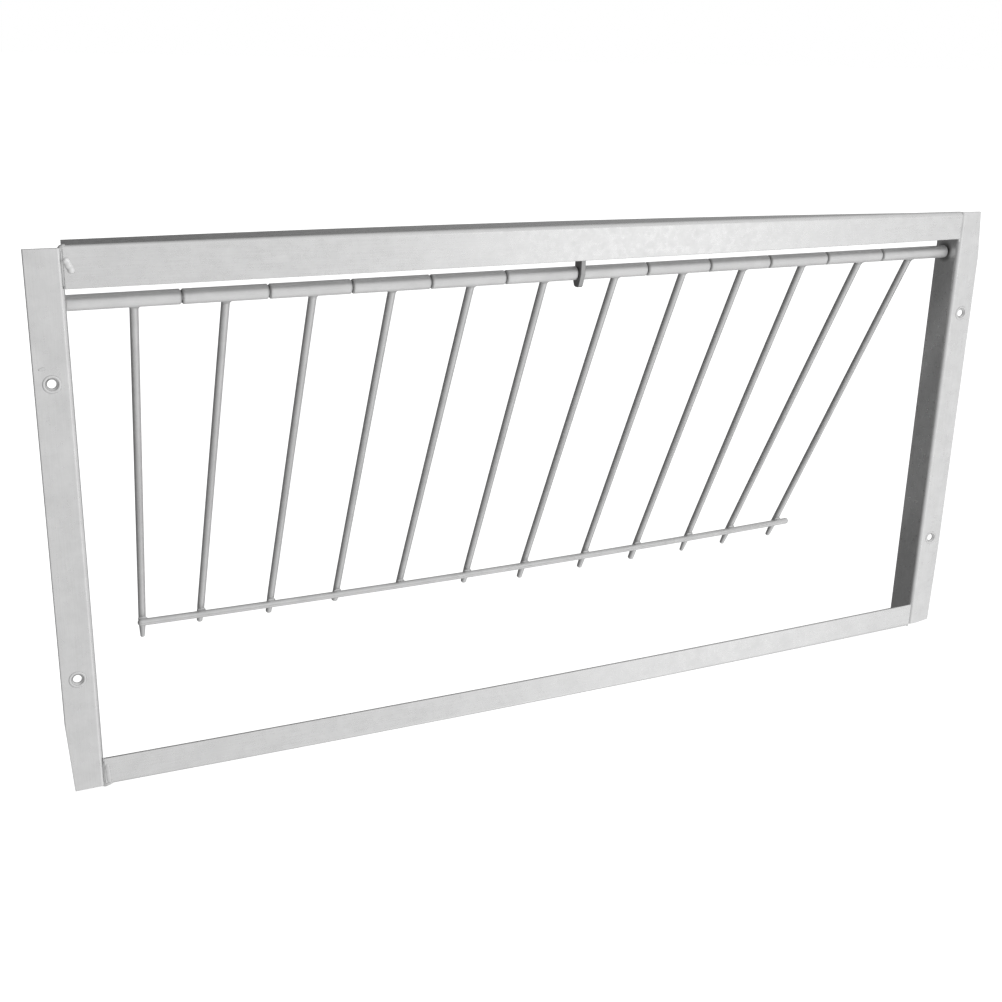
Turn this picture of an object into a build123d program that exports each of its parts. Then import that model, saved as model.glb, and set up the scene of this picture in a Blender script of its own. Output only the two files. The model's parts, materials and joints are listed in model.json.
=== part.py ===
"""One-way entrance grille: a folded-sheet frame with a row of wires that swing inwards on a rod.

Millimetres. The origin is the middle of the four screw holes, on the plane where the frame's front
flanges lie against the wall. +X runs along the rails, +Y goes through the wall, +Z is up.
"""
from build123d import *
from math import cos, radians, sin
import os

os.makedirs("parts", exist_ok=True)

# Frame of folded sheet
frame_width = 600.0
left_stile_ends = (-146.0, 146.0)
right_stile_ends = (-145.0, 146.5)
stile_face = 18.5
fold_depth = 20.0
sheet = 1.5
bend_outside = 2.5
bend_inside = bend_outside - sheet
edge_round = 0.5

# The frame was folded and welded by hand: its left stile sits a little low, the top rail's lip
# narrows to the right while its flange droops, and both rails are bowed.
stile_notch = 4.0
top_rail_top = 147.2
top_rail_bow = 0.4
top_lip_left = 21.1
top_lip_right = 17.9
top_lip_bow = 0.75
top_flange_droop = 3.0
top_flange_clip = 2.0
bottom_rail_top = -129.7
bottom_lip_left = 16.4
bottom_lip_right = 17.0
bottom_rail_sag = 2.0
bow_spans = 4  # each side of the middle

# Outer corners of the stiles that were snipped on a slant: how wide and how tall each snip is
left_bottom_snip = (2.5, 40.0)
right_top_snip = (3.0, 32.0)
right_bottom_snip = (1.5, 65.0)
right_end_snip = (12.0, 1.5)

# Fixing holes
screw_spacing_x = 583.0
screw_spacing_z = 160.0
screw_hole_radius = 2.25
screw_hole_chamfer = 0.9

# Hinge rod, a little out of level, and the lug that steadies it
rod_radius = 2.5
rod_y = 10.5
rod_z = 118.6
rod_tilt = radians(0.25)
rod_head_radius = 4.0
rod_head_length = 1.6
lug_thickness = 2.7
lug_x = 5.8
lug_front_y = 4.4
lug_back_y = 12.3
lug_shoulder = 4.0
hook_back_y = 15.8
hook_tip_y = (7.4, 12.6)
hook_drop = 8.0
hook_round = 2.3

# Sleeves of the swinging grille
rest_angle = radians(25.5)
sleeve_radius = 4.0
sleeve_bore_radius = 2.57
sleeve_gap = 0.25
sleeve_chamfer = 0.7
first_seam_x = -223.8
left_sleeve_pitch = 45.6
right_sleeve_pitch = 44.0
sleeves_per_side = 6

# Wires and crossbar
wire_radius = 2.25
wire_end_round = 0.6
crossbar_radius = 2.2
crossbar_ends_x = (-239.0, 250.0)
crossbar_ends_drop = (241.8, 240.7)
crossbar_middle_drop = 245.0
weld_sink = 0.4

# The wires were set by eye: where each one leaves the rod, how far it has wandered sideways by
# the time it reaches the crossbar, how far down from the rod it ends and how thin its tail is.
wire_heads = [-247.5, -200.5, -153.5, -108.5, -61.5, -15.5, 31.5, 78.5, 122, 167, 212, 253]
wire_wander = [10, -0.5, -2, -2, -4, -0.5, -3, -1.5, -2, -2.5, -11, -10]
wire_reach = [259.5, 253, 255, 253.5, 247.5, 256, 260.5, 260, 259.5, 260, 259, 258]
tail_radius = [1.3, 1.8, 1.9, 2.1, 2.2, 1.9, 1.8, 1.8, 2.1, 1.4, 1.6, 1.6]
tail_length = 14.0

inner_x = frame_width / 2 - stile_face
front_y = -sheet
back_y = front_y + fold_depth
crossbar_offset = wire_radius + crossbar_radius - weld_sink

# Planes: rod_line has its Z along the rod and its X along +Y. In grille, X is along the rod,
# Y comes out of the grille's front and Z runs down its wires.
rod_direction = Vector(cos(rod_tilt), 0, sin(rod_tilt))
rod_line = Plane(origin=(0, rod_y, rod_z), x_dir=(0, 1, 0), z_dir=rod_direction)
down_the_wires = rod_line.x_dir * sin(rest_angle) - rod_line.y_dir * cos(rest_angle)
grille = Plane(origin=rod_line.origin, x_dir=rod_direction, z_dir=down_the_wires)


def keep(part, name):
    """Label a finished piece and write it to its own file."""
    part.label = name
    export_step(part, f"parts/{name}.step")


def near(shapes, point):
    """The edge or vertex that lies closest to a point."""
    return shapes.sort_by_distance(point)[0]


def make_stile(side, ends, bottom_snips, top_snips):
    """A folded upright: side is -1 for the left one and +1 for the right one.

    The top of its side flange is cut away on a slant, clear of the top rail's flange.
    """
    outer = side * frame_width / 2
    inner = side * inner_x
    behind = side * (inner_x + sheet)
    bottom, top = ends
    with BuildPart() as stile:
        with BuildSketch(Plane.XY.offset(bottom)):
            with BuildLine():
                Polyline(
                    (inner, front_y),
                    (outer, front_y),
                    (outer, 0),
                    (behind, 0),
                    (behind, back_y),
                    (inner, back_y),
                    close=True,
                )
            make_face()
        extrude(amount=top - bottom)
        fillet(near(stile.edges().filter_by(Axis.Z), (inner, front_y, 0)), bend_outside)
        fillet(near(stile.edges().filter_by(Axis.Z), (behind, 0, 0)), bend_inside)
        fillet(near(stile.edges().filter_by(Axis.Z), (outer, front_y, 0)), edge_round)
        with BuildSketch(Plane.XZ):
            with GridLocations(screw_spacing_x, screw_spacing_z, 2, 2):
                Circle(screw_hole_radius)
        extrude(amount=2 * sheet, both=True, mode=Mode.SUBTRACT)
        rims = stile.edges().filter_by(GeomType.CIRCLE).filter_by(Plane.XZ).group_by(Axis.Y)[0]
        chamfer(rims, screw_hole_chamfer)
        with BuildSketch(rod_line):
            Circle(rod_radius)
        extrude(amount=frame_width, both=True, mode=Mode.SUBTRACT)
        with BuildSketch(Plane.YZ):
            with BuildLine():
                Polyline((sheet, top), (back_y, top), (back_y, top - stile_notch), close=True)
            make_face()
        extrude(amount=frame_width, both=True, mode=Mode.SUBTRACT)
        corners = [(bottom, 1, snip) for snip in bottom_snips]
        corners += [(top, -1, snip) for snip in top_snips]
        for level, inward, (across, along) in corners:
            with BuildSketch(Plane.XZ):
                with BuildLine():
                    Polyline(
                        (outer, level),
                        (outer - side * across, level),
                        (outer, level + inward * along),
                        close=True,
                    )
                make_face()
            extrude(amount=2 * sheet, both=True, mode=Mode.SUBTRACT)
    return stile.part


def folded_section(along, edge_z, lip, way, lift=0.0):
    """A rail's section: a lip beside the stiles' fronts and a flange going back from its edge.

    along runs from -1 at the left stile to +1 at the right one. way is +1 where the lip stands
    above the flange and -1 where it hangs below, and lift raises the flange's back edge.
    """
    plane = Plane(origin=(along * inner_x, 0, edge_z), x_dir=(0, 1, 0), z_dir=(1, 0, 0))
    with BuildSketch(plane) as section:
        with BuildLine():
            Polyline(
                (front_y, 0),
                (back_y, lift),
                (back_y, lift + way * sheet),
                (0, way * sheet),
                (0, way * lip),
                (front_y, way * lip),
                close=True,
            )
        make_face()
        fillet(near(section.vertices(), (front_y, 0, 0)), bend_outside)
        fillet(near(section.vertices(), (0, way * sheet, 0)), bend_inside)
        fillet(near(section.vertices(), (front_y, way * lip, 0)), edge_round)
    return section.sketch


left_stile = make_stile(-1, left_stile_ends, [left_bottom_snip], [])
keep(left_stile, "left_stile")

right_snips = [right_bottom_snip, right_end_snip]
right_stile = make_stile(1, right_stile_ends, right_snips, [right_top_snip])
keep(right_stile, "right_stile")

# The top rail's flange goes back along its top edge, and its back corners are clipped.
stations = [station / bow_spans for station in range(-bow_spans, bow_spans + 1)]
lip_slope = (top_lip_right - top_lip_left) / 2
lip_middle = (top_lip_right + top_lip_left) / 2
top_sections = []
for along in stations:
    rise = top_rail_bow * (1 - along**2)
    lip = lip_middle + lip_slope * along + top_lip_bow * (1 - along**2)
    lift = -top_flange_droop * (along + along**2) / 2
    top_sections.append(folded_section(along, top_rail_top + rise, lip, -1, lift))
with BuildPart() as top_rail:
    loft(top_sections, ruled=True)
    for side in (-1, 1):
        clipped_x = side * (inner_x - top_flange_clip)
        with BuildSketch(Plane.XY.offset(top_rail_top - lip_middle / 2)):
            with BuildLine():
                Polyline(
                    (side * inner_x, bend_outside),
                    (side * inner_x, back_y),
                    (clipped_x, back_y),
                    close=True,
                )
            make_face()
        extrude(amount=lip_middle, mode=Mode.SUBTRACT)
keep(top_rail.part, "top_rail")

# The bottom rail's flange goes back along its bottom edge, behind a low lip.
bottom_sections = []
for along in stations:
    lip = (bottom_lip_left * (1 - along) + bottom_lip_right * (1 + along)) / 2
    edge_z = bottom_rail_top - bottom_rail_sag * (1 - along**2) - lip
    bottom_sections.append(folded_section(along, edge_z, lip, 1))
with BuildPart() as bottom_rail:
    loft(bottom_sections, ruled=True)
keep(bottom_rail.part, "bottom_rail")

# The rod passes through both side flanges and is spread into a low head behind each.
rod_half = inner_x + sheet
with BuildPart() as hinge_rod:
    with BuildSketch(rod_line):
        Circle(rod_radius)
    extrude(amount=rod_half, both=True)
    for side in (-1, 1):
        with BuildSketch(rod_line.offset(side * rod_half)):
            Circle(rod_head_radius)
        extrude(amount=side * rod_head_length)
    ends = hinge_rod.edges().filter_by(GeomType.CIRCLE).group_by(Axis.X)
    fillet(ends[0] + ends[-1], rod_head_length * 0.6)
    add(left_stile, mode=Mode.SUBTRACT)
    add(right_stile, mode=Mode.SUBTRACT)
keep(hinge_rod.part, "hinge_rod")

# The lug hangs from the top rail's flange across the rod, and its end hooks round under it.
hook_z = rod_z - hook_drop
with BuildPart() as rod_lug:
    with BuildSketch(Plane.YZ.offset(lug_x - lug_thickness / 2)) as outline:
        with BuildLine():
            Polyline(
                (lug_front_y, top_rail_top),
                (lug_front_y, rod_z),
                (hook_tip_y[0], hook_z),
                (hook_tip_y[1], hook_z),
                (hook_back_y, rod_z),
                (lug_back_y, rod_z + lug_shoulder),
                (lug_back_y, top_rail_top),
                close=True,
            )
        make_face()
        for tip_y in hook_tip_y:
            fillet(near(outline.vertices(), (tip_y, hook_z, 0)), hook_round)
    extrude(amount=lug_thickness)
    add(top_rail.part, mode=Mode.SUBTRACT)
    with BuildSketch(rod_line.offset(lug_x)):
        Circle(rod_radius)
    extrude(amount=lug_thickness, both=True, mode=Mode.SUBTRACT)
keep(rod_lug.part, "rod_lug")

# Twelve sleeves in a row on the rod, six each side of the lug.
seams = [first_seam_x + i * left_sleeve_pitch for i in range(sleeves_per_side - 1)]
left_starts = [-inner_x] + seams
left_ends = seams + [lug_x - lug_thickness / 2]
lug_right = lug_x + lug_thickness / 2
seams = [lug_right + i * right_sleeve_pitch for i in range(1, sleeves_per_side)]
right_starts = [lug_right] + seams
right_ends = seams + [inner_x]

for number, span in enumerate(zip(left_starts + right_starts, left_ends + right_ends), 1):
    start, end = span
    with BuildPart() as sleeve:
        with BuildSketch(rod_line.offset(start + sleeve_gap)):
            Circle(sleeve_radius)
            Circle(sleeve_bore_radius, mode=Mode.SUBTRACT)
        extrude(amount=end - start - 2 * sleeve_gap)
        rims = sleeve.edges().filter_by(GeomType.CIRCLE).group_by(SortBy.RADIUS)[-1]
        chamfer(rims, sleeve_chamfer)
    keep(sleeve.part, f"sleeve_{number:02d}")

# The crossbar lies across the front of the wires, hangs lowest in its middle and has round ends.
bar_left = grille.from_local_coords((crossbar_ends_x[0], crossbar_offset, crossbar_ends_drop[0]))
bar_middle = grille.from_local_coords((0, crossbar_offset, crossbar_middle_drop))
bar_right = grille.from_local_coords((crossbar_ends_x[1], crossbar_offset, crossbar_ends_drop[1]))
with BuildPart() as crossbar:
    with BuildLine():
        bar_path = ThreePointArc(bar_left, bar_middle, bar_right)
    with BuildSketch(Plane(origin=bar_path @ 0, z_dir=bar_path % 0)):
        Circle(crossbar_radius)
    sweep()
    with Locations(bar_left, bar_right):
        Sphere(crossbar_radius)
keep(crossbar.part, "crossbar")

# One wire under each sleeve, shaped to the sleeve at its head and set into the crossbar.
wires = zip(wire_heads, wire_wander, wire_reach, tail_radius)
for number, (head, wander, reach, thin) in enumerate(wires, 1):
    top = grille.from_local_coords((head, 0, 0))
    foot = grille.from_local_coords((head + wander, 0, crossbar_middle_drop))
    run = (foot - top).normalized()
    length = reach * (foot - top).length / crossbar_middle_drop
    with BuildPart() as wire:
        with BuildSketch(Plane(origin=top, x_dir=run, z_dir=grille.y_dir.cross(run))) as half:
            with BuildLine():
                Polyline(
                    (0, 0),
                    (0, wire_radius),
                    (length - tail_length, wire_radius),
                    (length, thin),
                    (length, 0),
                    close=True,
                )
            make_face()
            fillet(near(half.vertices(), (length, thin, 0)), wire_end_round)
        revolve(axis=Axis(top, run))
        add(crossbar.part, mode=Mode.SUBTRACT)
        with BuildSketch(rod_line.offset(head)):
            Circle(sleeve_radius)
        extrude(amount=3 * wire_radius, both=True, mode=Mode.SUBTRACT)
    keep(wire.part, f"wire_{number:02d}")
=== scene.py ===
"""Looks for the one-way entrance grille: zinc-coated steel, hand-made welds, studio and camera.

Metres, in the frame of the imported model: +X along the rails, +Y through the wall, +Z up.
"""
import json
import math

import bmesh
import bpy
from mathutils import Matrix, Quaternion, Vector, noise


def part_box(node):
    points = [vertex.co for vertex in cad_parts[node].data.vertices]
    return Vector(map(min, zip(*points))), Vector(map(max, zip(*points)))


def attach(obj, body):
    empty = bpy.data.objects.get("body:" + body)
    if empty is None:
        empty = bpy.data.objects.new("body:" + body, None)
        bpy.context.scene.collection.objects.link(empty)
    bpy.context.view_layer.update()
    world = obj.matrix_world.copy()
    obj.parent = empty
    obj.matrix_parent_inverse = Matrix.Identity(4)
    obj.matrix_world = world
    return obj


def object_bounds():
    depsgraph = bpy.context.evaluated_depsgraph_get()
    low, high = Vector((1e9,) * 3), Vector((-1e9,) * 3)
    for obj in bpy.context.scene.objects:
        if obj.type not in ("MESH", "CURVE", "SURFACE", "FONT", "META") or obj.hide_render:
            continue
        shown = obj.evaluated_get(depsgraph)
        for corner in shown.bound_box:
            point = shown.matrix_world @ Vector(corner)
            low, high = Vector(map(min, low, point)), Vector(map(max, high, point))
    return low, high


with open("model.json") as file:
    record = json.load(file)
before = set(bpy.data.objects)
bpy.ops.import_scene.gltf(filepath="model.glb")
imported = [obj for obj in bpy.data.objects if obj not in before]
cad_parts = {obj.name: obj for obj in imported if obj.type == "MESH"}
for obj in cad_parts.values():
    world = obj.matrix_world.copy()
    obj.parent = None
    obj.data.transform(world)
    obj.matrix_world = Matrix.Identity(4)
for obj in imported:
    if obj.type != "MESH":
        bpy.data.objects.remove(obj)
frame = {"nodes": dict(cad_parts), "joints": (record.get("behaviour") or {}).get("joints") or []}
cad_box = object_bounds()
nodes = frame["nodes"]
MM = 0.001
FRONT = Vector((0, -1, 0))

# Sizes of the steel parts that the welds follow
WIRE_RADIUS = 2.25 * MM
SLEEVE_RADIUS = 4.0 * MM
FRONT_Y = -1.5 * MM
SCREW_X = 291.5 * MM
SCREW_Z = 80.0 * MM
ROD_END_X = 281.5 * MM

# Weld round each wire's head, and lump where each wire meets the crossbar
HEAD_WELD_LEG = 1.4 * MM
BAR_WELD_WIDTH = 2.9 * MM
BAR_WELD_LENGTH = 2.2 * MM
BAR_WELD_THICKNESS = 1.2 * MM
BAR_WELD_ABOVE = 0.9 * MM
BAR_WELD_SINK = 0.1 * MM

# Filler in each joint between a rail and a stile: how far it stands back from the front face
FILLER_DEPTH = {
    ("top_rail", -1): 0.5 * MM,
    ("top_rail", 1): 0.05 * MM,
    ("bottom_rail", -1): 0.9 * MM,
    ("bottom_rail", 1): 1.1 * MM,
}
FILLER_WIDTH = 2.0 * MM
FILLER_HEIGHT = 0.5 * MM
FILLER_OUTWARD = 0.4 * MM
FILLER_FROM_BOTTOM = 1.0 * MM
FILLER_FROM_TOP = 2.4 * MM

# Beads that stand proud of the left-hand joints: start, end, width and height
TOP_BEAD = (Vector((-280.9, -1.6, 141.4)) * MM, Vector((-277.4, -1.6, 133.8)) * MM)
TOP_BEAD_WIDTH = 3.8 * MM
TOP_BEAD_HEIGHT = 1.1 * MM
LOW_BEAD = (Vector((-280.2, -1.4, -133.0)) * MM, Vector((-279.4, -1.4, -145.0)) * MM)
LOW_BEAD_WIDTH = 2.6 * MM
LOW_BEAD_HEIGHT = 0.4 * MM

# Lumps of weld at the left-hand corners and the scar on the left stile: middle and half-axes
TOP_CORNER = Vector((-281.9, 0.6, 145.0)) * MM
TOP_CORNER_AXES = (Vector((2.4, 0, 0.6)) * MM, Vector((0, 1.6, 0)) * MM, Vector((0.4, 0, 2.6)) * MM)
LOW_CORNER = Vector((-279.8, -0.2, -145.6)) * MM
LOW_CORNER_AXES = (Vector((3.6, 0, 0.9)) * MM, Vector((0, 1.1, 0)) * MM, Vector((0, 0, 1.2)) * MM)
SCAR = Vector((-295.7 * MM, FRONT_Y, 87.9 * MM))
SCAR_AXES = (Vector((1.6, 0, 0.5)) * MM, Vector((-0.3, 0, 0.9)) * MM, Vector((0, 0.2, 0)) * MM)

# Burr round each screw hole
RIM_RADIUS = 3.9 * MM
RIM_WIDTH = 1.5 * MM
RIM_HEIGHT = 0.22 * MM

# Unevenness of the weld metal, in bumps per metre
BEAD_BUMPS = 700
BLOB_BUMPS = 600
FILLET_BUMPS = 450
RIM_BUMPS = 300

# Textures of the zinc, in features per metre
CLOUDS = 75.0
BLOTCHES = 320.0
STREAKS = 1400.0
SPANGLES = 210.0
DRAWN = 0.03  # the streaks are 33 times as long along the metal as across it
LENGTHWAYS = (DRAWN, 1, 1)
UPWARDS = (1, 1, DRAWN)

# Painted shade round the rod's ends, in the stiles' upper corners and in the sleeve seams: how dark
# it is in the middle, the share of the reach that has it, and the reaches
PAINTED_SHADE_LEVEL = 0.42
PAINTED_SHADE_CORE = 0.62
ROD_END_SHADE_REACH = 7.5 * MM
CORNER_SHADE_REACH = 17 * MM
CORNER_FROM_ROD_END = Vector((0, 5.5, 27.4)) * MM
SEAM_SHADE_REACH = 4.45 * MM

# Studio: strengths of the light, and the directions that it comes from
BRIGHT_SIDE = (0.6, -0.8, 0.0)
DIM = 0.18
BRIGHT = 1.0
OVERHEAD = 0.18
RIGHT_SIDE = 0.27
TALL_LIGHT = 0.82
TALL_LIGHT_AZIMUTH = 30.5
TALL_LIGHT_LEAN = 0.20
TALL_LIGHT_FOOT = 0.55
TALL_LIGHT_HEAD = 0.15
TALL_LIGHT_CORE = 0.06
TALL_LIGHT_SPREAD = 0.15
FLOOR_HALF = 30.0
FLOOR_GREY = 0.45
FLOOR_GLOW = 0.95

# Camera, in metres, degrees and millimetres of lens
CAMERA_AIM = Vector((-0.0453, 0.0, -0.0113))
CAMERA_AZIMUTH = 25.66
CAMERA_ELEVATION = 18.80
CAMERA_DISTANCE = 0.788
CAMERA_ROLL = 1.40
CAMERA_LENS = 48.14
CAMERA_SENSOR = 36.0
CAMERA_CLIP_START = 0.01


# --- Geometry read from the frame ---

hinge = frame["joints"][0]
rod_point = Vector(hinge["pos_m"])
rod_direction = Vector(hinge["axis"]).normalized()
wire_names = sorted(name for name in nodes if name.startswith("wire_"))
sleeve_names = sorted(name for name in nodes if name.startswith("sleeve_"))


def end_centre(name, top):
    """The middle of a wire's upper or lower end."""
    low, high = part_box(name)
    level = high.z if top else low.z
    reach = 2 * WIRE_RADIUS
    ring = [v.co for v in nodes[name].data.vertices if abs(v.co.z - level) < reach]
    return sum(ring, Vector()) / len(ring)


def meet_rod(point, run):
    """Where a wire's centre line comes nearest to the rod's."""
    across = run - rod_direction * run.dot(rod_direction)
    offset = rod_point - point
    offset = offset - rod_direction * offset.dot(rod_direction)
    return point + run * (offset.dot(across) / across.length_squared)


def meet_crossbar(head, tip):
    """The point of a wire's centre line nearest to the crossbar, and the bar's surface there."""
    best = None
    steps = 240
    for step in range(steps // 2, steps + 1):
        point = head.lerp(tip, step / steps)
        found, surface, _, _ = nodes["crossbar"].closest_point_on_mesh(point)
        gap = (surface - point).length
        if found and (best is None or gap < best[2]):
            best = (point, surface, gap)
    return best[0], best[1]


# --- Meshes ---


def ring_mesh(name, rings, wrap=False):
    """A smooth mesh object through rings of points that all have the same count.

    Its ends are closed, unless wrap joins the last ring to the first.
    """
    mesh = bpy.data.meshes.new(name)
    bm = bmesh.new()
    loops = [[bm.verts.new(point) for point in ring] for ring in rings]
    following = loops[1:] + loops[:1] if wrap else loops[1:]
    for first, second in zip(loops, following):
        count = len(first)
        for i in range(count):
            j = (i + 1) % count
            bm.faces.new((first[i], first[j], second[j], second[i]))
    if not wrap:
        bm.faces.new(reversed(loops[0]))
        bm.faces.new(loops[-1])
    bmesh.ops.recalc_face_normals(bm, faces=bm.faces)
    for face in bm.faces:
        face.smooth = True
    bm.to_mesh(mesh)
    bm.free()
    piece = bpy.data.objects.new(name, mesh)
    bpy.context.scene.collection.objects.link(piece)
    return piece


def rough(point, bumps, seed):
    """Steady noise from -1 to 1 at a point, with that many bumps per metre."""
    return noise.noise(point * bumps + Vector((seed * 7.3, seed * 3.1, seed * 5.7)))


def finish_piece(piece, body, material):
    """Give a piece its material and the body that it moves with."""
    piece.data.materials.append(material)
    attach(piece, body)


def bead(name, start, end, width, height, seed, ripples):
    """A laid weld bead: a rippled ridge from start to end, humped towards the front."""
    unevenness = 0.16
    ripple_depth = 0.07
    end_size = 0.05
    stations = 26
    around = 20
    along = end - start
    length = along.length
    along = along.normalized()
    side = along.cross(FRONT).normalized()
    rise = side.cross(along).normalized()
    rings = []
    for station in range(stations + 1):
        share = station / stations
        middle = start + along * (length * share)
        taper = max(end_size, 1 - abs(2 * share - 1) ** 6) ** 0.5
        ripple = 1 + ripple_depth * math.sin(share * ripples * 2 * math.pi)
        ring = []
        for i in range(around):
            turn = 2 * math.pi * i / around
            point = middle + side * (math.cos(turn) * width / 2 * taper)
            point = point + rise * (math.sin(turn) * height * taper * ripple)
            out = (point - middle).normalized()
            point = point + out * (rough(point, BEAD_BUMPS, seed) * unevenness * height)
            ring.append(point)
        rings.append(ring)
    return ring_mesh(name, rings)


def blob(name, centre, axes, seed, unevenness=0.14):
    """A lump of weld metal: three half-axes as vectors, with an uneven surface."""
    levels = 12
    around = 20
    rings = []
    for level in range(1, levels):
        tilt = math.pi * level / levels
        girth = math.sin(tilt)
        ring = []
        for i in range(around):
            turn = 2 * math.pi * i / around
            ball = (girth * math.cos(turn), girth * math.sin(turn), math.cos(tilt))
            offset = axes[0] * ball[0] + axes[1] * ball[1] + axes[2] * ball[2]
            swell = 1 + unevenness * rough(centre + offset, BLOB_BUMPS, seed)
            ring.append(centre + offset * swell)
        rings.append(ring)
    return ring_mesh(name, rings)


def drop_to_sleeve(lateral, run):
    """How far down a wire the sleeve's surface lies, at an offset from the wire's centre line."""
    flat_run = run - rod_direction * run.dot(rod_direction)
    flat = lateral - rod_direction * lateral.dot(rod_direction)
    a = flat_run.length_squared
    b = flat_run.dot(flat)
    c = flat.length_squared - SLEEVE_RADIUS**2
    return (-b + math.sqrt(max(0.0, b * b - a * c))) / a


def head_fillet(name, centre, run, leg, seed):
    """The weld that runs round a wire's head where the wire meets its sleeve."""
    unevenness = 0.3
    narrowing = 0.4  # round the sleeve's curve, where there is less room than along it
    fullness = 0.45
    wire_sink = 0.25 * MM
    sleeve_sink = 0.3 * MM
    steps = 5
    around = 28
    across = (rod_direction - run * rod_direction.dot(run)).normalized()
    side = run.cross(across)
    rings = [[] for _ in range(steps + 3)]
    for i in range(around):
        turn = 2 * math.pi * i / around
        out = across * math.cos(turn) + side * math.sin(turn)
        reach = leg * (1 + unevenness * rough(centre + out * 2 * MM, FILLET_BUMPS, seed))
        foot = WIRE_RADIUS + reach * (1 - narrowing * math.sin(turn) ** 2)
        corner_drop = drop_to_sleeve(out * WIRE_RADIUS, run)
        on_wire = centre + out * WIRE_RADIUS + run * (corner_drop + reach)
        on_sleeve = centre + out * foot + run * drop_to_sleeve(out * foot, run)
        corner = centre + out * WIRE_RADIUS + run * corner_drop
        pull = corner.lerp((on_wire + on_sleeve) / 2, fullness)
        rings[0].append(on_wire - out * wire_sink)
        for step in range(steps + 1):
            t = step / steps
            point = on_wire * (1 - t) ** 2 + pull * (2 * t * (1 - t)) + on_sleeve * t**2
            rings[step + 1].append(point)
        rings[-1].append(on_sleeve - run * sleeve_sink)
    return ring_mesh(name, rings)


def rim(name, centre, seed):
    """The burr raised round a punched hole in a front face."""
    unevenness = 0.5
    around = 40
    steps = 8
    rings = []
    for i in range(around):
        turn = 2 * math.pi * i / around
        out = Vector((math.cos(turn), 0, math.sin(turn)))
        lift = RIM_HEIGHT * (1 + unevenness * rough(centre + out * RIM_RADIUS, RIM_BUMPS, seed))
        ring = []
        for step in range(steps):
            lean = 2 * math.pi * step / steps
            point = centre + out * (RIM_RADIUS + math.cos(lean) * RIM_WIDTH / 2)
            ring.append(point + FRONT * (math.sin(lean) * lift))
        rings.append(ring)
    return ring_mesh(name, rings, wrap=True)


# --- Materials ---


class Nodes:
    """A small helper that adds and links shader nodes."""

    def __init__(self, tree):
        self.tree = tree
        tree.nodes.clear()

    def add(self, kind, **values):
        node = self.tree.nodes.new(kind)
        for key, value in values.items():
            setattr(node, key, value)
        return node

    def link(self, source, target):
        self.tree.links.new(source, target)

    def noise(self, vector, scale, detail, roughness=0.55):
        """Noise from 0 to 1 along a vector."""
        node = self.add("ShaderNodeTexNoise")
        node.inputs["Scale"].default_value = scale
        node.inputs["Detail"].default_value = detail
        node.inputs["Roughness"].default_value = roughness
        self.link(vector, node.inputs["Vector"])
        return node.outputs["Fac"]

    def span(self, value, low, high, from_low=0.3, from_high=0.7):
        """A value mapped from one range to another and held inside it."""
        node = self.add("ShaderNodeMapRange", clamp=True)
        node.inputs["From Min"].default_value = from_low
        node.inputs["From Max"].default_value = from_high
        node.inputs["To Min"].default_value = low
        node.inputs["To Max"].default_value = high
        self.link(value, node.inputs["Value"])
        return node.outputs["Result"]

    def maths(self, operation, first, second=0):
        """One step of arithmetic on two values, each a number or a node's output."""
        node = self.add("ShaderNodeMath", operation=operation)
        for socket, value in zip(node.inputs, (first, second)):
            if isinstance(value, (int, float)):
                socket.default_value = value
            else:
                self.link(value, socket)
        return node.outputs["Value"]

    def for_camera(self, seen, unseen, output):
        """Send one shader to the camera's own rays and another to all the rest."""
        mix = self.add("ShaderNodeMixShader")
        self.link(self.add("ShaderNodeLightPath").outputs["Is Camera Ray"], mix.inputs["Fac"])
        self.link(unseen.outputs[0], mix.inputs[1])
        self.link(seen.outputs[0], mix.inputs[2])
        self.link(mix.outputs[0], output.inputs["Surface"])


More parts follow.
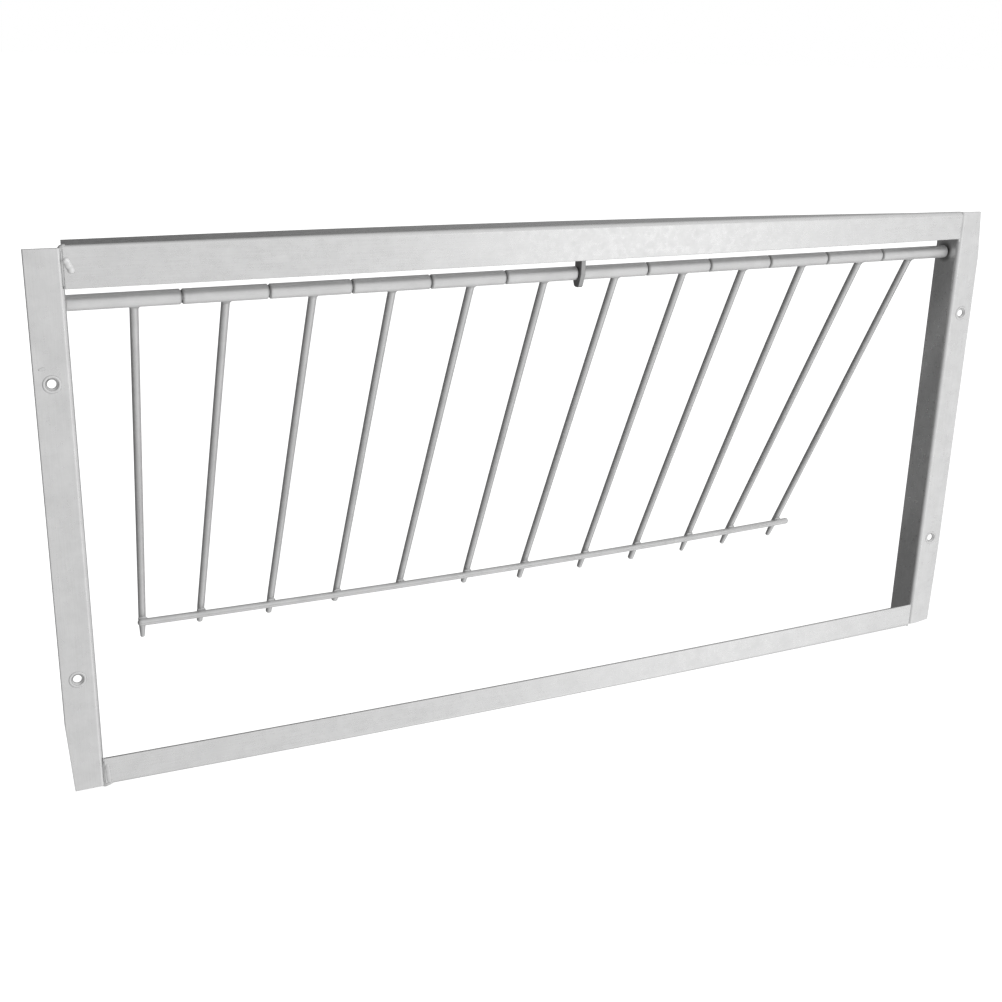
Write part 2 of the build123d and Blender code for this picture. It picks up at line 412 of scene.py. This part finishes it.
def zinc_steel(
    name, tone, gloss, grain=(1, 1, 1), turn=0.0, mottle=0.04, streak=0.03, dents=0.05,
    bare=1.0, painted_shade=()
):
    """Zinc-coated steel of one tone, with gloss as its roughness.

    grain shrinks the texture along the direction that the metal was drawn, and turn tips that
    direction about X. mottle, streak and dents are how strong each kind of unevenness is.
    bare is the share of clean metal, and the rest of the surface is dull white zinc bloom.
    The last argument lists points with the reach of the painted shade round each of them: the
    colour is darkened there to stand in for shadow.
    """
    material = bpy.data.materials.new(name)
    material.use_nodes = True
    n = Nodes(material.node_tree)
    output = n.add("ShaderNodeOutputMaterial")
    shader = n.add("ShaderNodeBsdfPrincipled")
    shader.inputs["Metallic"].default_value = bare
    n.link(shader.outputs["BSDF"], output.inputs["Surface"])

    place = n.add("ShaderNodeTexCoord").outputs["Object"]
    turned = n.add("ShaderNodeVectorRotate", rotation_type="X_AXIS")
    turned.inputs["Angle"].default_value = turn
    n.link(place, turned.inputs["Vector"])
    drawn = n.add("ShaderNodeVectorMath", operation="MULTIPLY")
    drawn.inputs[1].default_value = grain
    n.link(turned.outputs["Vector"], drawn.inputs[0])

    clouds = n.noise(place, CLOUDS, detail=4.0)
    blotches = n.noise(place, BLOTCHES, detail=3.0)
    streaks = n.noise(drawn.outputs["Vector"], STREAKS, detail=4.0, roughness=0.65)
    spangle = n.add("ShaderNodeTexVoronoi")
    spangle.inputs["Scale"].default_value = SPANGLES
    n.link(place, spangle.inputs["Vector"])
    flake = n.add("ShaderNodeSeparateColor")
    n.link(spangle.outputs["Color"], flake.inputs["Color"])

    # Colour: the tone, made uneven by clouds, blotches, streaks and flakes, and darkened round the
    # given points as painted shade
    shade = n.span(clouds, 1 - mottle, 1 + mottle)
    shade = n.maths("MULTIPLY", shade, n.span(blotches, 1 - mottle * 0.5, 1 + mottle * 0.4))
    shade = n.maths("MULTIPLY", shade, n.span(streaks, 1 - streak, 1 + streak))
    shade = n.maths("MULTIPLY", shade, n.span(flake.outputs["Red"], 0.985, 1.012, 0.0, 1.0))
    shade = n.maths("MULTIPLY", shade, tone)
    for point, reach in painted_shade:
        apart = n.add("ShaderNodeVectorMath", operation="DISTANCE")
        apart.inputs[1].default_value = point
        n.link(place, apart.inputs[0])
        shade_falloff = n.span(apart.outputs["Value"], PAINTED_SHADE_LEVEL, 1.0, reach * PAINTED_SHADE_CORE, reach)
        shade = n.maths("MULTIPLY", shade, shade_falloff)
    colour = n.add("ShaderNodeCombineColor")
    for channel in ("Red", "Green", "Blue"):
        n.link(shade, colour.inputs[channel])
    n.link(colour.outputs["Color"], shader.inputs["Base Color"])

    # Roughness: a little uneven with the blotches and the streaks
    dullness = n.span(blotches, gloss - 0.05, gloss + 0.06)
    dullness = n.maths("ADD", dullness, n.span(streaks, -0.04, 0.04))
    n.link(dullness, shader.inputs["Roughness"])

    # Relief: rounded edges, slight waves in the metal, and the lines that drawing leaves
    rounding = n.add("ShaderNodeBevel", samples=4)
    rounding.inputs["Radius"].default_value = 0.35 * MM
    waves = n.add("ShaderNodeBump")
    waves.inputs["Strength"].default_value = dents
    waves.inputs["Distance"].default_value = 0.6 * MM
    n.link(clouds, waves.inputs["Height"])
    n.link(rounding.outputs["Normal"], waves.inputs["Normal"])
    lines = n.add("ShaderNodeBump")
    lines.inputs["Strength"].default_value = 0.06
    lines.inputs["Distance"].default_value = 0.05 * MM
    n.link(streaks, lines.inputs["Height"])
    n.link(waves.outputs["Normal"], lines.inputs["Normal"])
    n.link(lines.outputs["Normal"], shader.inputs["Normal"])
    return material


def wire_lean():
    """How far the wires lean back from upright, in radians."""
    head = end_centre(wire_names[0], True)
    tip = end_centre(wire_names[0], False)
    return math.atan2(tip.y - head.y, head.z - tip.z)


def stile_painted_shade():
    """Painted shade round the rod's ends and in the upper corners of the stiles, standing in for
    the contact shadow at each sleeve's end and the shadow under the top rail.
    """
    painted_shade = []
    for side in (-1, 1):
        rod_end = rod_point + rod_direction * (side * ROD_END_X)
        painted_shade.append((rod_end, ROD_END_SHADE_REACH))
        painted_shade.append((rod_end + CORNER_FROM_ROD_END, CORNER_SHADE_REACH))
    return painted_shade


def seam_painted_shade():
    """Painted shade in the seams between the sleeves, where shadow falls between them."""
    painted_shade = []
    for left, right in zip(sleeve_names, sleeve_names[1:]):
        seam_x = (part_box(left)[1].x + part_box(right)[0].x) / 2
        painted_shade.append((rod_point + rod_direction * (seam_x / rod_direction.x), SEAM_SHADE_REACH))
    return painted_shade


# The stiles carry painted shade round the rod's ends and in their upper corners.
sheet_upright = zinc_steel("sheet_upright", 0.74, 0.32, grain=UPWARDS, painted_shade=stile_painted_shade())
sheet_level = zinc_steel("sheet_level", 0.745, 0.29, grain=LENGTHWAYS, mottle=0.028)
rod_metal = zinc_steel("rod_metal", 0.66, 0.36, grain=LENGTHWAYS)
# The sleeves carry painted shade in the seams between them.
sleeve_metal = zinc_steel(
    "sleeve_metal", 0.81, 0.42, grain=LENGTHWAYS, dents=0.1, bare=0.4, painted_shade=seam_painted_shade()
)
wire_metal = zinc_steel("wire_metal", 0.70, 0.42, grain=UPWARDS, turn=wire_lean())
bar_metal = zinc_steel("bar_metal", 0.72, 0.42, grain=LENGTHWAYS)
weld_metal = zinc_steel("weld_metal", 0.70, 0.40, mottle=0.10, streak=0.06, dents=0.4)
# A lighter copy of the weld metal: painted highlight on the proud top-left bead.
weld_painted_highlight = zinc_steel("weld_painted_highlight", 0.88, 0.40, mottle=0.06, streak=0.04, dents=0.4)
# The lug's dark tone is painted shade, standing in for the deep shadow on its face.
lug_shaded_metal = zinc_steel("lug_shaded_metal", 0.38, 0.36, mottle=0.08, streak=0.05)

NODE_METALS = {
    "left_stile": sheet_upright,
    "right_stile": sheet_upright,
    "top_rail": sheet_level,
    "bottom_rail": sheet_level,
    "hinge_rod": rod_metal,
    "rod_lug": lug_shaded_metal,
    "crossbar": bar_metal,
}
NODE_METALS.update((name, sleeve_metal) for name in sleeve_names)
NODE_METALS.update((name, wire_metal) for name in wire_names)


def paint(name, material):
    """Put a material in every slot of a CAD node."""
    slots = nodes[name].data.materials
    if not slots:
        slots.append(material)
    for i in range(len(slots)):
        slots[i] = material


for name in nodes:
    paint(name, NODE_METALS[name])


# --- Welds on the grille ---

for number, name in enumerate(wire_names, 1):
    head = end_centre(name, True)
    tip = end_centre(name, False)
    run = (tip - head).normalized()
    piece = head_fillet(f"head_weld_{number:02d}", meet_rod(head, run), run, HEAD_WELD_LEG, number)
    finish_piece(piece, "grille", weld_metal)

    on_wire, on_bar = meet_crossbar(head, tip)
    towards = (on_bar - on_wire).normalized()
    across = towards.cross(run).normalized()
    centre = on_bar - run * BAR_WELD_ABOVE - towards * BAR_WELD_SINK
    axes = (across * BAR_WELD_WIDTH, run * BAR_WELD_LENGTH, towards * BAR_WELD_THICKNESS)
    piece = blob(f"bar_weld_{number:02d}", centre, axes, number + 20)
    finish_piece(piece, "grille", weld_metal)


# --- Welds and marks on the frame ---

for number, ((rail, side), depth) in enumerate(FILLER_DEPTH.items(), 1):
    low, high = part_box(rail)
    x = (high.x if side > 0 else low.x) + side * FILLER_OUTWARD
    y = FRONT_Y + depth + FILLER_HEIGHT
    start = Vector((x, y, low.z + FILLER_FROM_BOTTOM))
    end = Vector((x, y, high.z - FILLER_FROM_TOP))
    name = f"{rail}_weld_{'right' if side > 0 else 'left'}"
    piece = bead(name, start, end, FILLER_WIDTH, FILLER_HEIGHT, number, ripples=4)
    finish_piece(piece, "frame", weld_metal)

# The top bead gets the lighter weld copy as a painted highlight.
piece = bead("top_rail_bead", *TOP_BEAD, TOP_BEAD_WIDTH, TOP_BEAD_HEIGHT, 11, ripples=3)
finish_piece(piece, "frame", weld_painted_highlight)
piece = bead("bottom_rail_bead", *LOW_BEAD, LOW_BEAD_WIDTH, LOW_BEAD_HEIGHT, 12, ripples=3)
finish_piece(piece, "frame", weld_metal)
piece = blob("top_corner_weld", TOP_CORNER, TOP_CORNER_AXES, 13)
finish_piece(piece, "frame", weld_metal)
piece = blob("bottom_corner_weld", LOW_CORNER, LOW_CORNER_AXES, 14)
finish_piece(piece, "frame", weld_metal)

screw_places = [(x, z) for x in (-SCREW_X, SCREW_X) for z in (-SCREW_Z, SCREW_Z)]
for number, (x, z) in enumerate(screw_places, 1):
    piece = rim(f"screw_rim_{number}", Vector((x, FRONT_Y, z)), number + 40)
    finish_piece(piece, "frame", sheet_upright)

piece = blob("stile_scar", SCAR, SCAR_AXES, 51, unevenness=0.3)
finish_piece(piece, "frame", weld_metal)


# --- Floor, light and camera ---


def add_floor():
    """A pale floor, large enough to fill every view, that leaves the light on the metal alone."""
    corners = [(-1, -1), (1, -1), (1, 1), (-1, 1)]
    floor_z = cad_box[0].z
    mesh = bpy.data.meshes.new("floor")
    places = [(x * FLOOR_HALF, y * FLOOR_HALF, floor_z) for x, y in corners]
    mesh.from_pydata(places, [], [(0, 1, 2, 3)])
    floor = bpy.data.objects.new("floor", mesh)
    bpy.context.scene.collection.objects.link(floor)
    material = bpy.data.materials.new("floor")
    material.use_nodes = True
    n = Nodes(material.node_tree)
    output = n.add("ShaderNodeOutputMaterial")
    dull = n.add("ShaderNodeBsdfDiffuse")
    dull.inputs["Color"].default_value = (FLOOR_GREY, FLOOR_GREY, FLOOR_GREY, 1)
    pale = n.add("ShaderNodeEmission")
    pale.inputs["Strength"].default_value = FLOOR_GLOW
    both = n.add("ShaderNodeAddShader")
    n.link(dull.outputs[0], both.inputs[0])
    n.link(pale.outputs[0], both.inputs[1])
    n.for_camera(both, n.add("ShaderNodeBsdfTransparent"), output)
    mesh.materials.append(material)


def add_world():
    """A soft studio: bright in front and to the right with one tall light, dim behind.

    The camera itself sees plain white in its place.
    """
    world = bpy.data.worlds.new("studio")
    bpy.context.scene.world = world
    world.use_nodes = True
    n = Nodes(world.node_tree)
    output = n.add("ShaderNodeOutputWorld")
    direction = n.add("ShaderNodeTexCoord").outputs["Generated"]

    def facing(x, y, z):
        """How far a direction of the studio points the way of a vector."""
        node = n.add("ShaderNodeVectorMath", operation="DOT_PRODUCT")
        node.inputs[1].default_value = (x, y, z)
        n.link(direction, node.inputs[0])
        return node.outputs["Value"]

    towards = facing(*BRIGHT_SIDE)
    height = facing(0, 0, 1)
    ambient = n.span(towards, DIM, BRIGHT, -0.7, 0.75)
    upright = n.maths("ABSOLUTE", height)
    ambient = n.maths("ADD", ambient, n.span(upright, 0, OVERHEAD, 0.5, 0.95))
    ambient = n.maths("ADD", ambient, n.span(facing(1, 0, 0), 0, RIGHT_SIDE, 0.8, 1.0))

    # The tall light is a leaning band in front, weaker towards its foot and its head
    turn = math.radians(TALL_LIGHT_AZIMUTH)
    across = facing(math.cos(turn), math.sin(turn), TALL_LIGHT_LEAN)
    beside = n.maths("ABSOLUTE", across)
    tall = n.span(beside, TALL_LIGHT, 0, TALL_LIGHT_CORE, TALL_LIGHT_SPREAD)
    tall = n.maths("MULTIPLY", tall, n.span(towards, 0, 1, 0, 0.5))
    tall = n.maths("MULTIPLY", tall, n.span(height, TALL_LIGHT_FOOT, 1, -0.45, -0.15))
    tall = n.maths("MULTIPLY", tall, n.span(height, 1, TALL_LIGHT_HEAD, 0.1, 0.4))
    glow = n.add("ShaderNodeBackground")
    n.link(n.maths("ADD", ambient, tall), glow.inputs["Strength"])
    white = n.add("ShaderNodeBackground")
    white.inputs["Color"].default_value = (1, 1, 1, 1)
    n.for_camera(white, glow, output)


def add_camera():
    """The camera in front of the grille, to its left and a little above it."""
    azimuth = math.radians(CAMERA_AZIMUTH)
    elevation = math.radians(CAMERA_ELEVATION)
    back = Vector((
        -math.sin(azimuth) * math.cos(elevation),
        -math.cos(azimuth) * math.cos(elevation),
        math.sin(elevation),
    ))
    data = bpy.data.cameras.new("camera")
    data.lens = CAMERA_LENS
    data.sensor_width = CAMERA_SENSOR
    data.clip_start = CAMERA_CLIP_START
    camera = bpy.data.objects.new("camera", data)
    camera.location = CAMERA_AIM + back * CAMERA_DISTANCE
    camera.rotation_mode = "QUATERNION"
    level = (-back).to_track_quat("-Z", "Y")
    camera.rotation_quaternion = level @ Quaternion((0, 0, 1), math.radians(CAMERA_ROLL))
    bpy.context.scene.collection.objects.link(camera)
    bpy.context.scene.camera = camera


add_floor()
add_world()
add_camera()
bpy.context.scene.view_settings.view_transform = "Standard"
